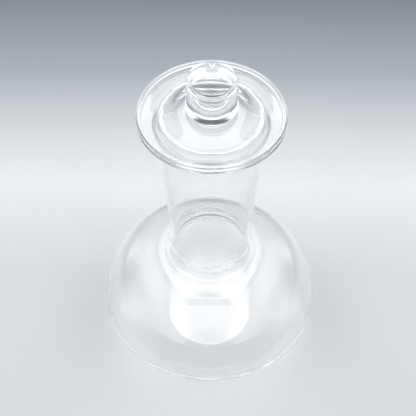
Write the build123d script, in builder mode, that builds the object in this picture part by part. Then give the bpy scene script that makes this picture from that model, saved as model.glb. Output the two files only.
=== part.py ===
"""Lidded glass flask: a flattened bulb under a long conical neck, closed by a knobbed lid.

Every piece is turned about Z. The flask stands on Z = 0, and heights are measured from
there. Millimetres.
"""

import os
from math import acos, atan2, degrees, radians, sin

from build123d import *

# ---- driving dimensions -------------------------------------------------------------------

wall = 2.4                     # blown wall of the bulb and the neck
seat_gap = 0.2                 # air between the lid and the lip that it rests on

# bulb
foot_radius = 26.5             # outside of the flat ring the flask stands on
punt_radius = 20.0             # hollow pushed up inside that ring
punt_height = 0.5
base_thickness = 3.2
bulb_radius = 70.0
equator_height = 29.5
shoulder_height = 77.0         # top of the bulb, where it turns up into the neck
shoulder_bend = 3.0            # outside of that turn
throat_radius = 25.6           # outside of the neck at its narrowest
seal_height = 82.0             # where the neck is sealed to the bulb

# neck
seal_bead_width = 4.0          # glass gathered in a ring just above the seal
seal_bead_depth = 0.8
sweep_radius = 341.0           # long curve that opens the neck into a cone
cone_angle = 5.7               # half angle of that cone
flare_radius = 7.5             # underside of the turn from the cone into the lip
lip_radius = 44.6
lip_height = 200.4

# lid
brim_radius = 45.0
brim_thickness = 2.6
bead_thickness = 3.4           # fire-polished bead that edges the brim
bead_inset = 3.6               # from the edge to where the bead runs out
dome_radius = 37.4             # where the brim turns up into the dome
dome_rise = 4.2
land_radius = 17.0             # flat on top of the dome, under the knob
skirt_radius = 30.3            # ring that keeps the lid centred in the mouth
skirt_wall = 1.8
skirt_depth = 10.0             # below the brim

# knob
weld_radius = 13.8             # where the foot of the knob is fused to the lid
weld_height = 0.9
knob_foot_radius = 15.5
knob_foot_thickness = 7.4
knob_foot_undercut = 1.6       # rounding under the foot
knob_foot_rounding = 2.6       # rounding on top of it
waist_radius = 10.0
waist_height = 5.4
knob_radius = 15.2
knob_half_height = 8.3
knob_edge_radius = 4.6         # round edge of the flattened ball

# ---- heights and radii that follow ---------------------------------------------------------

shoulder_radius = throat_radius + shoulder_bend
sweep_start = seal_height + seal_bead_width
flare_height = lip_height - wall - flare_radius * (1 - sin(radians(cone_angle)))
brim_underside = lip_height + seat_gap
brim_top = brim_underside + brim_thickness
land_height = brim_top + dome_rise
dome_underside = land_height - brim_thickness
skirt_bottom = brim_underside - skirt_depth
weld_top = land_height + weld_height
foot_top = weld_top + knob_foot_thickness
knob_centre_height = foot_top + waist_height + knob_half_height
knob_edge_centre = knob_radius - knob_edge_radius
knob_cap_radius = (knob_edge_centre**2 + knob_half_height**2 - knob_edge_radius**2) / (
    2 * (knob_half_height - knob_edge_radius)
)
knob_cap_angle = degrees(atan2(knob_cap_radius - knob_half_height, knob_edge_centre))

os.makedirs("parts", exist_ok=True)


def cap_radius(radius, height):
    """Radius of the sphere whose cap has this radius and height."""
    return (radius**2 + height**2) / (2 * height)


def flank(radius, base):
    """Lower side of the bulb, from the edge of the flat base out to the widest height."""
    cut = acos(foot_radius / radius)
    return EllipticalCenterArc(
        (0, equator_height), radius, (equator_height - base) / sin(cut),
        start_angle=-degrees(cut), arc_size=degrees(cut),
    )


# ---- bulb ----------------------------------------------------------------------------------

with BuildPart() as flask_bulb:
    with BuildSketch(Plane.XZ):
        with BuildLine():
            # outside, from the hollow of the foot up to the seal
            RadiusArc((0, punt_height), (punt_radius, 0), cap_radius(punt_radius, punt_height))
            Line((punt_radius, 0), (foot_radius, 0))
            flank(bulb_radius, 0)
            EllipticalCenterArc(
                (shoulder_radius, equator_height),
                bulb_radius - shoulder_radius, shoulder_height - equator_height, arc_size=90,
            )
            outer_turn = CenterArc(
                (shoulder_radius, shoulder_height + shoulder_bend), shoulder_bend, 180, 90
            )
            Line(outer_turn @ 0, (throat_radius, seal_height))
            # across the seal, then back down the inside
            Line((throat_radius, seal_height), (throat_radius - wall, seal_height))
            inner_turn = CenterArc(
                (shoulder_radius, shoulder_height + shoulder_bend), shoulder_bend + wall, 180, 90
            )
            Line((throat_radius - wall, seal_height), inner_turn @ 0)
            EllipticalCenterArc(
                (shoulder_radius, equator_height),
                bulb_radius - wall - shoulder_radius,
                shoulder_height - wall - equator_height,
                arc_size=90,
            )
            flank(bulb_radius - wall, base_thickness)
            RadiusArc(
                (0, base_thickness + punt_height),
                (foot_radius, base_thickness),
                cap_radius(foot_radius, punt_height),
            )
            Line((0, base_thickness + punt_height), (0, punt_height))
        make_face()
    revolve(axis=Axis.Z)
flask_bulb.part.label = "flask_bulb"
export_step(flask_bulb.part, "parts/flask_bulb.step")


# ---- neck ----------------------------------------------------------------------------------

with BuildPart() as flask_neck:
    with BuildSketch(Plane.XZ):
        with BuildLine():
            # outside: bead, sweep, cone, then the turn out into the lip
            ThreePointArc(
                (throat_radius, seal_height),
                (throat_radius + seal_bead_depth, seal_height + seal_bead_width / 2),
                (throat_radius, sweep_start),
            )
            outer_sweep = JernArc(
                (throat_radius, sweep_start), (0, 1), sweep_radius, -cone_angle
            )
            outer_cone = PolarLine(
                outer_sweep @ 1,
                flare_height - (outer_sweep @ 1).Y,
                90 - cone_angle,
                length_mode=LengthMode.VERTICAL,
            )
            outer_flare = JernArc(
                outer_cone @ 1, outer_cone % 1, flare_radius, cone_angle - 90
            )
            lip_under = Line(outer_flare @ 1, (lip_radius - wall / 2, (outer_flare @ 1).Y))
            lip_edge = JernArc(lip_under @ 1, (1, 0), wall / 2, 180)
            # inside: the same curves, one wall further in
            inner_sweep = JernArc(
                (throat_radius - wall, sweep_start), (0, 1), sweep_radius + wall, -cone_angle
            )
            inner_cone = PolarLine(inner_sweep @ 1, outer_cone.length, 90 - cone_angle)
            inner_flare = JernArc(
                inner_cone @ 1, inner_cone % 1, flare_radius + wall, cone_angle - 90
            )
            Line(inner_flare @ 1, lip_edge @ 1)
            Line((throat_radius - wall, sweep_start), (throat_radius - wall, seal_height))
            Line((throat_radius - wall, seal_height), (throat_radius, seal_height))
        make_face()
    revolve(axis=Axis.Z)
flask_neck.part.label = "flask_neck"
export_step(flask_neck.part, "parts/flask_neck.step")


# ---- lid: beaded brim and low dome ----------------------------------------------------------

with BuildPart() as lid_cover:
    with BuildSketch(Plane.XZ):
        with BuildLine():
            # underside of the brim, the bead round its edge, and the top of the brim
            bead_radius = bead_thickness / 2
            brim_under = Line(
                (skirt_radius - skirt_wall, brim_underside),
                (brim_radius - bead_radius, brim_underside),
            )
            bead = JernArc(brim_under @ 1, (1, 0), bead_radius, 180)
            brim_edge = (brim_radius - bead_inset, brim_top)
            Spline(bead @ 1, brim_edge, tangents=[(-1, 0), (-1, 0)])
            Line(brim_edge, (dome_radius, brim_top))
            # dome, rising to the flat that carries the knob
            Spline(
                (dome_radius, brim_top), (land_radius, land_height), tangents=[(-1, 0), (-1, 0)]
            )
            Line((land_radius, land_height), (0, land_height))
            Line((0, land_height), (0, dome_underside))
            Line((0, dome_underside), (land_radius, dome_underside))
            Spline(
                (land_radius, dome_underside), brim_under @ 0, tangents=[(1, 0), (1, 0)]
            )
        make_face()
    revolve(axis=Axis.Z)
lid_cover.part.label = "lid_cover"
export_step(lid_cover.part, "parts/lid_cover.step")


# ---- lid: locating skirt, fused under the brim -----------------------------------------------

with BuildPart() as lid_skirt:
    with BuildSketch(Plane.XZ):
        with Locations((skirt_radius - skirt_wall / 2, (skirt_bottom + brim_underside) / 2)):
            skirt_section = Rectangle(skirt_wall, brim_underside - skirt_bottom)
        fillet(skirt_section.vertices().group_by(Axis.Y)[0], skirt_wall * 0.45)
    revolve(axis=Axis.Z)
lid_skirt.part.label = "lid_skirt"
export_step(lid_skirt.part, "parts/lid_skirt.step")


# ---- lid: knob, a flattened ball on a thick round foot ---------------------------------------

with BuildPart() as lid_knob:
    with BuildSketch(Plane.XZ):
        with BuildLine():
            Line((0, land_height), (weld_radius, land_height))
            Line((weld_radius, land_height), (weld_radius, weld_top))
            foot_side = FilletPolyline(
                (weld_radius, weld_top),
                (knob_foot_radius, weld_top),
                (knob_foot_radius, foot_top),
                (waist_radius, foot_top),
                radius=(knob_foot_undercut, knob_foot_rounding),
            )
            # the ball: a round edge, then a flatter cap that meets it in one smooth line
            ball_edge = CenterArc(
                (knob_edge_centre, knob_centre_height), knob_edge_radius,
                -knob_cap_angle, 2 * knob_cap_angle,
            )
            Spline(foot_side @ 1, ball_edge @ 0, tangents=[(-1, 0.3), ball_edge % 0])
            CenterArc(
                (0, knob_centre_height + knob_half_height - knob_cap_radius), knob_cap_radius,
                knob_cap_angle, 90 - knob_cap_angle,
            )
            Line((0, knob_centre_height + knob_half_height), (0, land_height))
        make_face()
    revolve(axis=Axis.Z)
lid_knob.part.label = "lid_knob"
export_step(lid_knob.part, "parts/lid_knob.step")
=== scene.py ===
from math import acos, atan2, cos, degrees, pi, radians, sin

import bpy
from mathutils import Matrix, Vector


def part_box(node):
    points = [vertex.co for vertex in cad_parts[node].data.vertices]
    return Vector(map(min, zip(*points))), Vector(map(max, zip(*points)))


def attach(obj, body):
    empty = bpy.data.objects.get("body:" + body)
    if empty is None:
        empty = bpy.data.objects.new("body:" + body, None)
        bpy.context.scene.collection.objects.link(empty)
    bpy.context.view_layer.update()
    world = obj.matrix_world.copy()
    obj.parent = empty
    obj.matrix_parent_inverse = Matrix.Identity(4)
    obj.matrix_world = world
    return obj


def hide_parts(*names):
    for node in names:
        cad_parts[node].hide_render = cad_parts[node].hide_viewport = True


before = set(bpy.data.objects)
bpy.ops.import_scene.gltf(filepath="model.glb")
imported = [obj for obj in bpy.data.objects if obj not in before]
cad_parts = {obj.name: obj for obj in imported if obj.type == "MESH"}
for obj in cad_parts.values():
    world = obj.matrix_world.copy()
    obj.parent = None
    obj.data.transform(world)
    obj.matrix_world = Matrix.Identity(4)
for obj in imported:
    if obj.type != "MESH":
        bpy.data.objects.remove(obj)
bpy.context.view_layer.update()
print("frame loaded")

mm = 0.001
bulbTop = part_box("flask_bulb")[1]
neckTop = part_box("flask_neck")[1]
coverLow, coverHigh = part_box("lid_cover")
skirtLow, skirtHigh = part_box("lid_skirt")
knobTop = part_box("lid_knob")[1]


def linearColour(hexCode, alpha=1.0):
    channels = [int(hexCode[i:i + 2], 16) / 255 for i in (1, 3, 5)]
    return [c / 12.92 if c <= 0.04045 else ((c + 0.055) / 1.055) ** 2.4 for c in channels] + [alpha]


def addNode(tree, kind, settings=None, links=None):
    # settings: a property name, or an input socket by name or number; links: socket -> output
    node = tree.nodes.new(kind)
    for key, value in (settings or {}).items():
        if isinstance(key, str) and hasattr(node, key):
            setattr(node, key, value)
        else:
            node.inputs[key].default_value = value
    for key, output in (links or {}).items():
        tree.links.new(output, node.inputs[key])
    return node


def arc(centre, radii, start, end, count):
    # points of an elliptical arc, in degrees, both ends included
    steps = [radians(start + (end - start) * i / count) for i in range(count + 1)]
    return [(centre[0] + radii[0] * cos(a), centre[1] + radii[1] * sin(a)) for a in steps]


def line(start, end, count):
    return [
        (start[0] + (end[0] - start[0]) * i / count, start[1] + (end[1] - start[1]) * i / count)
        for i in range(count + 1)
    ]


def bend(start, end, startSlope, endSlope, count):
    # a smooth curve between two points that leaves and arrives along the given directions
    points = []
    for i in range(count + 1):
        t = i / count
        a, b = 2 * t**3 - 3 * t**2 + 1, t**3 - 2 * t**2 + t
        c, d = -2 * t**3 + 3 * t**2, t**3 - t**2
        points.append(tuple(
            a * start[k] + b * startSlope[k] + c * end[k] + d * endSlope[k] for k in (0, 1)
        ))
    return points


def joined(*runs):
    # one outline from several runs, without the points that two runs share
    outline = []
    for run in runs:
        for point in run:
            if not outline or (Vector(point) - Vector(outline[-1])).length > 1e-4:
                outline.append(point)
    return outline


def latheTree():
    # turns an outline, drawn in the XZ plane as a chain of points, about the Z axis
    tree = bpy.data.node_groups.new("lathe", "GeometryNodeTree")
    face = tree.interface
    face.new_socket(name="Geometry", in_out="INPUT", socket_type="NodeSocketGeometry")
    for name, kind in (
        ("Segments", "NodeSocketInt"),
        ("Waviness", "NodeSocketFloat"),
        ("Wave Size", "NodeSocketFloat"),
        ("Wave Top", "NodeSocketFloat"),
        ("Wave Full", "NodeSocketFloat"),
        ("Material", "NodeSocketMaterial"),
    ):
        face.new_socket(name=name, in_out="INPUT", socket_type=kind)
    face.new_socket(name="Geometry", in_out="OUTPUT", socket_type="NodeSocketGeometry")
    given = addNode(tree, "NodeGroupInput").outputs

    # a grid with one row for each point of the outline and one column for each step of the turn
    count = addNode(tree, "GeometryNodeAttributeDomainSize", {"component": "MESH"},
                    {"Geometry": given["Geometry"]}).outputs["Point Count"]
    columns = addNode(tree, "ShaderNodeMath", {"operation": "ADD", 1: 1.0}, {0: given["Segments"]})
    grid = addNode(tree, "GeometryNodeMeshGrid", {"Size X": 1.0, "Size Y": 1.0},
                   {"Vertices X": columns.outputs[0], "Vertices Y": count})
    place = addNode(tree, "GeometryNodeInputPosition").outputs[0]
    across = addNode(tree, "ShaderNodeSeparateXYZ", links={0: place}).outputs

    # each row takes its own point of the outline
    upward = addNode(tree, "ShaderNodeMath", {"operation": "ADD", 1: 0.5}, {0: across["Y"]})
    lastRow = addNode(tree, "ShaderNodeMath", {"operation": "SUBTRACT", 1: 1.0}, {0: count})
    height = addNode(tree, "ShaderNodeMath", {"operation": "MULTIPLY"},
                     {0: upward.outputs[0], 1: lastRow.outputs[0]})
    row = addNode(tree, "ShaderNodeMath", {"operation": "ROUND"}, {0: height.outputs[0]})
    point = addNode(tree, "GeometryNodeSampleIndex", {"data_type": "FLOAT_VECTOR"},
                    {"Geometry": given["Geometry"], "Value": place, "Index": row.outputs[0]})

    # each column turns it by its own angle
    around = addNode(tree, "ShaderNodeMath", {"operation": "ADD", 1: 0.5}, {0: across["X"]})
    angle = addNode(tree, "ShaderNodeMath", {"operation": "MULTIPLY", 1: 2 * pi},
                    {0: around.outputs[0]})
    turned = addNode(tree, "ShaderNodeVectorRotate", {"rotation_type": "Z_AXIS"},
                     {"Vector": point.outputs["Value"], "Angle": angle.outputs[0]})
    placed = addNode(tree, "GeometryNodeSetPosition",
                     links={"Geometry": grid.outputs["Mesh"], "Position": turned.outputs[0]})
    merged = addNode(tree, "GeometryNodeMergeByDistance", {"Distance": 1e-6},
                     {"Geometry": placed.outputs[0]})

    # blown glass is never quite round: below the wave's top its wall drifts inwards a little
    fineness = addNode(tree, "ShaderNodeMath", {"operation": "DIVIDE", 0: 1.0},
                       {1: given["Wave Size"]})
    noise = addNode(tree, "ShaderNodeTexNoise", {"Detail": 1.0},
                    {"Vector": place, "Scale": fineness.outputs[0]})
    fade = addNode(tree, "ShaderNodeMapRange", {"interpolation_type": "SMOOTHSTEP"}, {
        "Value": across["Z"], "From Min": given["Wave Top"], "From Max": given["Wave Full"],
    })
    share = addNode(tree, "ShaderNodeMath", {"operation": "MULTIPLY"},
                    {0: noise.outputs[0], 1: fade.outputs[0]})
    depth = addNode(tree, "ShaderNodeMath", {"operation": "MULTIPLY"},
                    {0: share.outputs[0], 1: given["Waviness"]})
    level = addNode(tree, "ShaderNodeVectorMath",
                    {"operation": "MULTIPLY", 1: (-1.0, -1.0, 0.0)}, {0: place})
    inward = addNode(tree, "ShaderNodeVectorMath", {"operation": "NORMALIZE"},
                     {0: level.outputs[0]})
    drift = addNode(tree, "ShaderNodeVectorMath", {"operation": "SCALE"},
                    {0: inward.outputs[0], "Scale": depth.outputs[0]})
    blown = addNode(tree, "GeometryNodeSetPosition",
                    links={"Geometry": merged.outputs[0], "Offset": drift.outputs[0]})
    smooth = addNode(tree, "GeometryNodeSetShadeSmooth", links={"Geometry": blown.outputs[0]})
    real = addNode(tree, "GeometryNodeRealizeInstances", links={0: smooth.outputs[0]})
    finished = addNode(tree, "GeometryNodeSetMaterial",
                       links={"Geometry": real.outputs[0], "Material": given["Material"]})
    addNode(tree, "NodeGroupOutput", links={0: finished.outputs[0]})
    return tree


def lathed(name, outline, values):
    # the outline, in millimetres, becomes a plain closed mesh
    points = [(x * mm, 0.0, z * mm) for x, z in outline]
    chain = bpy.data.meshes.new(name + "Outline")
    chain.from_pydata(points, [(i, i + 1) for i in range(len(points) - 1)], [])
    piece = bpy.data.objects.new(name, chain)
    bpy.context.scene.collection.objects.link(piece)
    tree = bpy.data.node_groups.get("lathe") or latheTree()
    turn = piece.modifiers.new("lathe", "NODES")
    turn.node_group = tree
    for socket in tree.interface.items_tree:
        if socket.in_out == "INPUT" and socket.name in values:
            turn[socket.identifier] = values[socket.name]
    graph = bpy.context.evaluated_depsgraph_get()
    piece.data = bpy.data.meshes.new_from_object(piece.evaluated_get(graph))
    piece.modifiers.clear()
    piece.data.name = name
    bpy.data.meshes.remove(chain)
    print(name, len(piece.data.polygons), "faces")
    return piece


glassFinish = {
    "colour": "#FFFFFF",
    "ior": 1.47,              # borosilicate
    "strandSize": 9.0,        # mm between the faint streaks left by blowing
    "strandDepth": 0.010,     # mm
}


def borosilicateGlass(name, finish):
    # clear blown borosilicate: no colour of its own, so it shows as bright and dark edge lines
    material = bpy.data.materials.new(name)
    material.use_nodes = True
    tree = material.node_tree
    tree.nodes.clear()
    place = addNode(tree, "ShaderNodeTexCoord").outputs["Object"]
    stretched = addNode(tree, "ShaderNodeMapping", {"Scale": (1.0, 1.0, 0.35)}, {"Vector": place})
    streaks = addNode(tree, "ShaderNodeTexNoise",
                      {"Scale": 1 / (finish["strandSize"] * mm), "Detail": 2.0},
                      {"Vector": stretched.outputs[0]})
    bump = addNode(tree, "ShaderNodeBump", {"Strength": 1.0, "Distance": finish["strandDepth"] * mm},
                   {"Height": streaks.outputs[0]})
    glass = addNode(tree, "ShaderNodeBsdfPrincipled", {
        "Base Color": linearColour(finish["colour"]),
        "Roughness": 0.0,
        "IOR": finish["ior"],
        "Transmission Weight": 1.0,
    }, {"Normal": bump.outputs[0]})
    addNode(tree, "ShaderNodeOutputMaterial", links={"Surface": glass.outputs[0]})
    return material


flask = {
    "wall": 2.4,
    "footRadius": 26.5,
    "puntRadius": 20.0,
    "puntHeight": 0.5,
    "baseThickness": 3.2,
    "equatorHeight": 29.5,
    "shoulderHeight": 77.0,
    "shoulderBend": 3.0,
    "throatRadius": 25.6,
    "beadWidth": 4.0,
    "beadDepth": 0.8,
    "sweepRadius": 341.0,
    "coneAngle": 5.7,
    "flareRadius": 7.5,
    "segments": 256,
    "rippleStart": 75,        # degrees round the top of the bulb
    "rippleDepth": 0.6,       # rings beside the seal
    "ripplePitch": 2.8,
    "rippleReach": 10.0,
    "bandDepth": 0.25,        # slow waves of the wall inside the lower half
    "bandPitch": 9.0,
    "bandReach": 40.0,
    "waviness": 0.5,          # how far the wall drifts inwards
    "waveSize": 25.0,
    "waveFull": 53.9,         # height under which the drift is at its full depth
}


def capPoints(radius, rise, base, count):
    # shallow round cap, from the axis out to its rim
    ball = (radius**2 + rise**2) / (2 * rise)
    reach = degrees(atan2(radius, ball - rise))
    return arc((0.0, base + rise - ball), (ball, ball), 90, 90 - reach, count)


def flankPoints(foot, radius, equator, base, count):
    # lower half of the bulb: an elliptical arc round the axis, cut off where the flat base begins
    cut = acos(foot / radius)
    return arc((0.0, equator), (radius, (equator - base) / sin(cut)), -degrees(cut), 0, count)


def neckRun(size, inset, start, lipTop, count):
    # sweep, cone and flare of one face of the neck, from the seal bead up to the lip
    sweep = size["sweepRadius"] + inset
    flare = size["flareRadius"] + inset
    tilt = radians(size["coneAngle"])
    flareHeight = lipTop - size["wall"] - size["flareRadius"] * (1 - sin(tilt))
    curve = arc((size["throatRadius"] + size["sweepRadius"], start), (sweep, sweep),
                180, 180 - size["coneAngle"], count)
    coneLength = (flareHeight - start - size["sweepRadius"] * sin(tilt)) / cos(tilt)
    low = curve[-1]
    high = (low[0] + coneLength * sin(tilt), low[1] + coneLength * cos(tilt))
    centre = (high[0] + flare * cos(tilt), high[1] - flare * sin(tilt))
    turn = arc(centre, (flare, flare), 180 - size["coneAngle"], 90, 14)
    return joined(curve, line(low, high, 14), turn)


def rippled(run, depth, pitch, reach):
    # rings left where hot glass was worked, deepest at the end of the run
    steps = [(Vector(b) - Vector(a)).length for a, b in zip(run, run[1:])] + [0.0]
    points, left = [], sum(steps)
    for i, point in enumerate(run):
        along = (Vector(run[min(i + 1, len(run) - 1)]) - Vector(run[max(i - 1, 0)])).normalized()
        push = depth * max(0.0, 1 - left / reach) * sin(2 * pi * left / pitch)
        points.append((point[0] + push * along.y, point[1] - push * along.x))
        left -= steps[i]
    return points


def flaskOutline(size):
    # outside from the hollow of the foot up to the lip, then back down the inside
    foot, wall = size["footRadius"], size["wall"]
    radius = bulbTop.x / mm
    equator, top, turn = size["equatorHeight"], size["shoulderHeight"], size["shoulderBend"]
    throat = size["throatRadius"]
    shoulder = throat + turn
    floor = size["baseThickness"]
    seal = bulbTop.z / mm
    neckStart = seal + size["beadWidth"]
    lip, lipTop = neckTop.x / mm, neckTop.z / mm
    beadMiddle = seal + size["beadWidth"] / 2
    ripples = (size["rippleDepth"], size["ripplePitch"], size["rippleReach"])
    bands = (size["bandDepth"], size["bandPitch"], size["bandReach"])
    rippleStart = size["rippleStart"]
    outside = joined(
        capPoints(size["puntRadius"], size["puntHeight"], 0.0, 8),
        line((size["puntRadius"], 0.0), (foot, 0.0), 3),
        flankPoints(foot, radius, equator, 0.0, 44),
        arc((shoulder, equator), (radius - shoulder, top - equator), 0, rippleStart, 30),
        rippled(joined(
            arc((shoulder, equator), (radius - shoulder, top - equator), rippleStart, 90, 20),
            arc((shoulder, top + turn), (turn, turn), 270, 180, 8),
        ), *ripples),
        arc((throat, beadMiddle), (size["beadDepth"], size["beadWidth"] / 2), -90, 90, 10),
        rippled(neckRun(size, 0.0, neckStart, lipTop, 48)[::-1], *ripples)[::-1],
    )
    lipEdge = arc((lip - wall / 2, lipTop - wall / 2), (wall / 2, wall / 2), -90, 90, 14)
    inside = joined(
        capPoints(foot, size["puntHeight"], floor, 10),
        rippled(flankPoints(foot, radius - wall, equator, floor, 44), *bands),
        arc((shoulder, equator), (radius - wall - shoulder, top - wall - equator), 0, 90, 44),
        arc((shoulder, top + turn), (turn + wall, turn + wall), 270, 180, 12),
        line((throat - wall, top + turn), (throat - wall, neckStart), 5),
        neckRun(size, wall, neckStart, lipTop, 16),
    )
    return joined(outside, line(outside[-1], lipEdge[0], 5), lipEdge,
                  line(lipEdge[-1], inside[-1], 5), inside[::-1])


flaskMaterial = borosilicateGlass("borosilicateBlown", glassFinish)
flaskGlass = lathed("flaskGlass", flaskOutline(flask), {
    "Segments": flask["segments"],
    "Waviness": flask["waviness"] * mm,
    "Wave Size": flask["waveSize"] * mm,
    "Wave Top": flask["shoulderHeight"] * mm,
    "Wave Full": flask["waveFull"] * mm,
    "Material": flaskMaterial,
})


lid = {
    "brimThickness": 2.6,
    "beadThickness": 3.4,
    "beadInset": 3.6,
    "beadRunOut": 2.0,        # a run-out is how strongly a curve keeps its direction at its ends
    "domeRadius": 37.4,
    "domeRunOut": 20.0,
    "landRadius": 17.0,
    "ceilingRunOut": 11.0,
    "skirtWall": 1.8,
    "skirtRounding": 0.45,    # share of that wall
    "weldRadius": 13.8,
    "weldHeight": 0.9,
    "footRadius": 15.5,
    "footThickness": 7.4,
    "footUndercut": 1.6,
    "footRounding": 2.6,
    "waistRadius": 10.0,
    "waistStart": (-5.0, 1.5),    # direction in which the waist leaves the foot
    "waistRunOut": 10.0,
    "knobRadius": 15.2,
    "knobHalfHeight": 8.3,
    "knobEdgeRadius": 4.6,
    "segments": 256,
}


def lidOutline(size):
    # underside out to the edge of the brim, over the top of the dome, and up the knob
    brimRadius, bottom, land = coverHigh.x / mm, coverLow.z / mm, coverHigh.z / mm
    skirt, skirtEnd = skirtHigh.x / mm, skirtLow.z / mm
    wall = size["skirtWall"]
    brimTop = bottom + size["brimThickness"]
    ceiling = land - size["brimThickness"]
    half = size["beadThickness"] / 2
    bead = (brimRadius - half, bottom + half)
    rounding = wall * size["skirtRounding"]
    beadEnd, domeEnd = (-size["beadRunOut"], 0.0), (-size["domeRunOut"], 0.0)
    ceilingEnd = (size["ceilingRunOut"], 0.0)
    underside = joined(
        [(0.0, ceiling)],
        line((0.0, ceiling), (size["landRadius"], ceiling), 12),
        bend((size["landRadius"], ceiling), (skirt - wall, bottom), ceilingEnd, ceilingEnd, 16),
        line((skirt - wall, bottom), (skirt - wall, skirtEnd + rounding), 8),
        arc((skirt - wall + rounding, skirtEnd + rounding), (rounding, rounding), 180, 270, 6),
        arc((skirt - rounding, skirtEnd + rounding), (rounding, rounding), 270, 360, 6),
        line((skirt, skirtEnd + rounding), (skirt, bottom), 8),
        line((skirt, bottom), (bead[0], bottom), 10),
    )
    brim = joined(
        arc(bead, (half, half), 270, 450, 20),
        bend((bead[0], bottom + 2 * half), (brimRadius - size["beadInset"], brimTop),
             beadEnd, beadEnd, 6),
        line((brimRadius - size["beadInset"], brimTop), (size["domeRadius"], brimTop), 4),
        bend((size["domeRadius"], brimTop), (size["landRadius"], land), domeEnd, domeEnd, 20),
    )
    weldTop = land + size["weldHeight"]
    footTop = weldTop + size["footThickness"]
    foot, under, over = size["footRadius"], size["footUndercut"], size["footRounding"]
    top = knobTop.z / mm
    centre = top - size["knobHalfHeight"]
    edge = size["knobEdgeRadius"]
    edgeCentre = size["knobRadius"] - edge
    cap = (edgeCentre**2 + size["knobHalfHeight"]**2 - edge**2) / (
        2 * (size["knobHalfHeight"] - edge))
    capAngle = degrees(atan2(cap - size["knobHalfHeight"], edgeCentre))
    ball = arc((edgeCentre, centre), (edge, edge), -capAngle, capAngle, 30)
    waistEnd = arc((0.0, 0.0), (size["waistRunOut"], size["waistRunOut"]), 90 - capAngle, 90, 1)[0]
    knob = joined(
        line((size["landRadius"], land), (size["weldRadius"], land), 3),
        line((size["weldRadius"], land), (size["weldRadius"], weldTop), 2),
        arc((foot - under, weldTop + under), (under, under), 270, 360, 8),
        line((foot, weldTop + under), (foot, footTop - over), 4),
        arc((foot - over, footTop - over), (over, over), 0, 90, 12),
        line((foot - over, footTop), (size["waistRadius"], footTop), 4),
        bend((size["waistRadius"], footTop), ball[0], size["waistStart"], waistEnd, 20),
        ball,
        arc((0.0, top - cap), (cap, cap), capAngle, 90, 20),
    )
    return joined(underside, brim, knob)


lidMaterial = borosilicateGlass("borosilicatePolished", glassFinish)
lidGlass = lathed("lidGlass", lidOutline(lid), {
    "Segments": lid["segments"],
    "Waviness": 0.0,
    "Wave Size": 1.0,
    "Wave Top": 0.0,
    "Wave Full": 0.0,
    "Material": lidMaterial,
})


studio = {
    "floorSize": 6.0,
    "floorDrop": 0.3,         # mm of air under the foot ring, which never touches all round
    # painted light and shade on the paper, by distance behind the flask's axis, in metres: a painted pool
    # of light just behind the flask, and painted shade darkening further back where the light falls off
    "paperPaintedFalloff": (
        (-0.30, "#B2B2B2"),
        (0.04, "#B2B2B2"),
        (0.12, "#C0C0BE"),
        (0.16, "#B4B4B4"),
        (0.24, "#888C8F"),
        (0.33, "#646A6E"),
        (0.60, "#646A6E"),
    ),
    "worldColour": "#E4E9EE",
    # strength of the tent's light, by the sideways part of a direction: 0 ahead, 1 square to the side
    "tent": ((0.0, 1.1), (0.25, 1.1), (0.50, 2.8), (0.70, 2.4), (0.92, 0.6)),
    "tentPeak": 3.0,
    "behind": 0.12,           # share of that light left low down behind the flask
    "behindSpan": (0.60, 0.85),   # backward part of a direction, from full light to that share
}


def colourRamp(tree, value, stops):
    # stops: a place along the ramp and its colour, in rising order
    ramp = addNode(tree, "ShaderNodeValToRGB", links={"Fac": value})
    elements = ramp.color_ramp.elements
    elements.remove(elements[1])
    for i, (position, colour) in enumerate(stops):
        stop = elements[0] if i == 0 else elements.new(position)
        stop.position, stop.color = position, colour
    return ramp


def paleFloor():
    # matt paper sweep with painted light in its colour: a painted pool of light just behind the flask,
    # and painted shade further back
    half = studio["floorSize"] / 2
    drop = -studio["floorDrop"] * mm
    mesh = bpy.data.meshes.new("floor")
    mesh.from_pydata([(-half, -half, drop), (half, -half, drop), (half, half, drop), (-half, half, drop)],
                     [], [(0, 1, 2, 3)])
    floor = bpy.data.objects.new("floor", mesh)
    bpy.context.scene.collection.objects.link(floor)
    material = bpy.data.materials.new("mattPaperPaintedFalloff")
    material.use_nodes = True
    tree = material.node_tree
    tree.nodes.clear()
    near, far = studio["paperPaintedFalloff"][0][0], studio["paperPaintedFalloff"][-1][0]
    place = addNode(tree, "ShaderNodeTexCoord").outputs["Object"]
    depth = addNode(tree, "ShaderNodeSeparateXYZ", links={0: place}).outputs["Y"]
    along = addNode(tree, "ShaderNodeMapRange", {"From Min": near, "From Max": far}, {"Value": depth})
    # the ramp paints light and shade into the paper's colour by distance
    colours = colourRamp(tree, along.outputs[0], [
        ((distance - near) / (far - near), linearColour(colour)) for distance, colour in studio["paperPaintedFalloff"]
    ])
    paperPaintedFalloff = addNode(tree, "ShaderNodeBsdfPrincipled", {"Roughness": 0.9, "Specular IOR Level": 0.2},
                    {"Base Color": colours.outputs[0]})
    addNode(tree, "ShaderNodeOutputMaterial", links={"Surface": paperPaintedFalloff.outputs[0]})
    mesh.materials.append(material)
    return floor


softBoxes = {
    "overhead": {
        "place": (0.0, 0.51, 1.30),
        "aim": (0.0, 0.51, 0.0),
        "size": (0.84, 1.16),
        "radiance": 2.9,
    },
}


def softBox(name, box):
    # a diffuser panel that faces the flask; a panel's power is pi x area x radiance
    light = bpy.data.lights.new(name, "AREA")
    light.shape = "RECTANGLE"
    light.size, light.size_y = box["size"]
    light.energy = pi * light.size * light.size_y * box["radiance"]
    lamp = bpy.data.objects.new(name, light)
    lamp.location = box["place"]
    facing = Vector(box["aim"]) - Vector(box["place"])
    lamp.rotation_euler = facing.to_track_quat("-Z", "Y").to_euler()
    bpy.context.scene.collection.objects.link(lamp)
    return lamp


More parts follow.
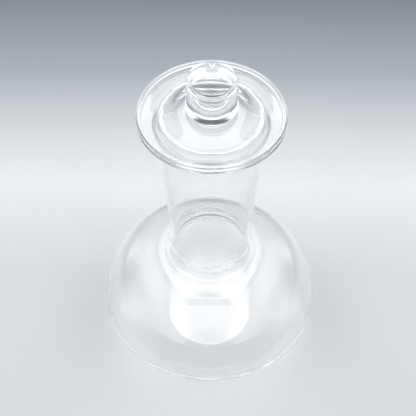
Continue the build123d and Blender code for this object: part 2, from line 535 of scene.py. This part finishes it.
def studioWorld():
    # white tent round the table: brighter high on the left and right, darker low down behind
    world = bpy.data.worlds.new("studio")
    world.use_nodes = True
    tree = world.node_tree
    tree.nodes.clear()
    way = addNode(tree, "ShaderNodeSeparateXYZ", links={
        0: addNode(tree, "ShaderNodeTexCoord").outputs["Generated"],
    }).outputs
    peak = studio["tentPeak"]
    aside = addNode(tree, "ShaderNodeMath", {"operation": "ABSOLUTE"}, {0: way["X"]}).outputs[0]
    glow = colourRamp(tree, aside, [(at, [light / peak] * 3 + [1.0]) for at, light in studio["tent"]])
    glow.color_ramp.interpolation = "EASE"
    behind = addNode(tree, "ShaderNodeMapRange", {
        "interpolation_type": "SMOOTHSTEP",
        "From Min": studio["behindSpan"][0],
        "From Max": studio["behindSpan"][1],
        "To Min": peak,
        "To Max": peak * studio["behind"],
    }, {"Value": way["Y"]}).outputs[0]
    strength = addNode(tree, "ShaderNodeMath", {"operation": "MULTIPLY"},
                       {0: glow.outputs[0], 1: behind}).outputs[0]
    light = addNode(tree, "ShaderNodeBackground", {"Color": linearColour(studio["worldColour"])},
                    {"Strength": strength})
    addNode(tree, "ShaderNodeOutputWorld", links={0: light.outputs[0]})
    bpy.context.scene.world = world


paleFloor()
studioWorld()
for name, box in softBoxes.items():
    softBox(name, box)
for piece in (flaskGlass, lidGlass):
    piece.visible_shadow = False
print("studio set")


view = {
    "elevation": 49.98,       # degrees above the horizon
    "distance": 0.9347,
    "aimHeight": 0.1166,      # where the view's middle crosses the flask's axis
    "aside": -0.0016,
    "roll": 0.57,             # degrees
    "lens": 127.8,
}


def studioCamera():
    camera = bpy.data.objects.new("camera", bpy.data.cameras.new("camera"))
    camera.data.lens = view["lens"]
    tilt = radians(view["elevation"])
    back = Vector((0.0, -cos(tilt), sin(tilt)))
    aim = Vector((view["aside"], 0.0, view["aimHeight"]))
    turn = (-back).to_track_quat("-Z", "Y").to_matrix().to_4x4()
    camera.matrix_world = (
        Matrix.Translation(aim + back * view["distance"]) @ turn @ Matrix.Rotation(
            radians(view["roll"]), 4, "Z")
    )
    bpy.context.scene.collection.objects.link(camera)
    bpy.context.scene.camera = camera


studioCamera()
scene = bpy.context.scene
scene.view_settings.view_transform = "Standard"
scene.cycles.max_bounces = 64
scene.cycles.transmission_bounces = 64
scene.cycles.glossy_bounces = 64
scene.cycles.diffuse_bounces = 3


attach(flaskGlass, "flask")
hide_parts("flask_bulb", "flask_neck")
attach(lidGlass, "lid")
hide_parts("lid_cover", "lid_skirt", "lid_knob")
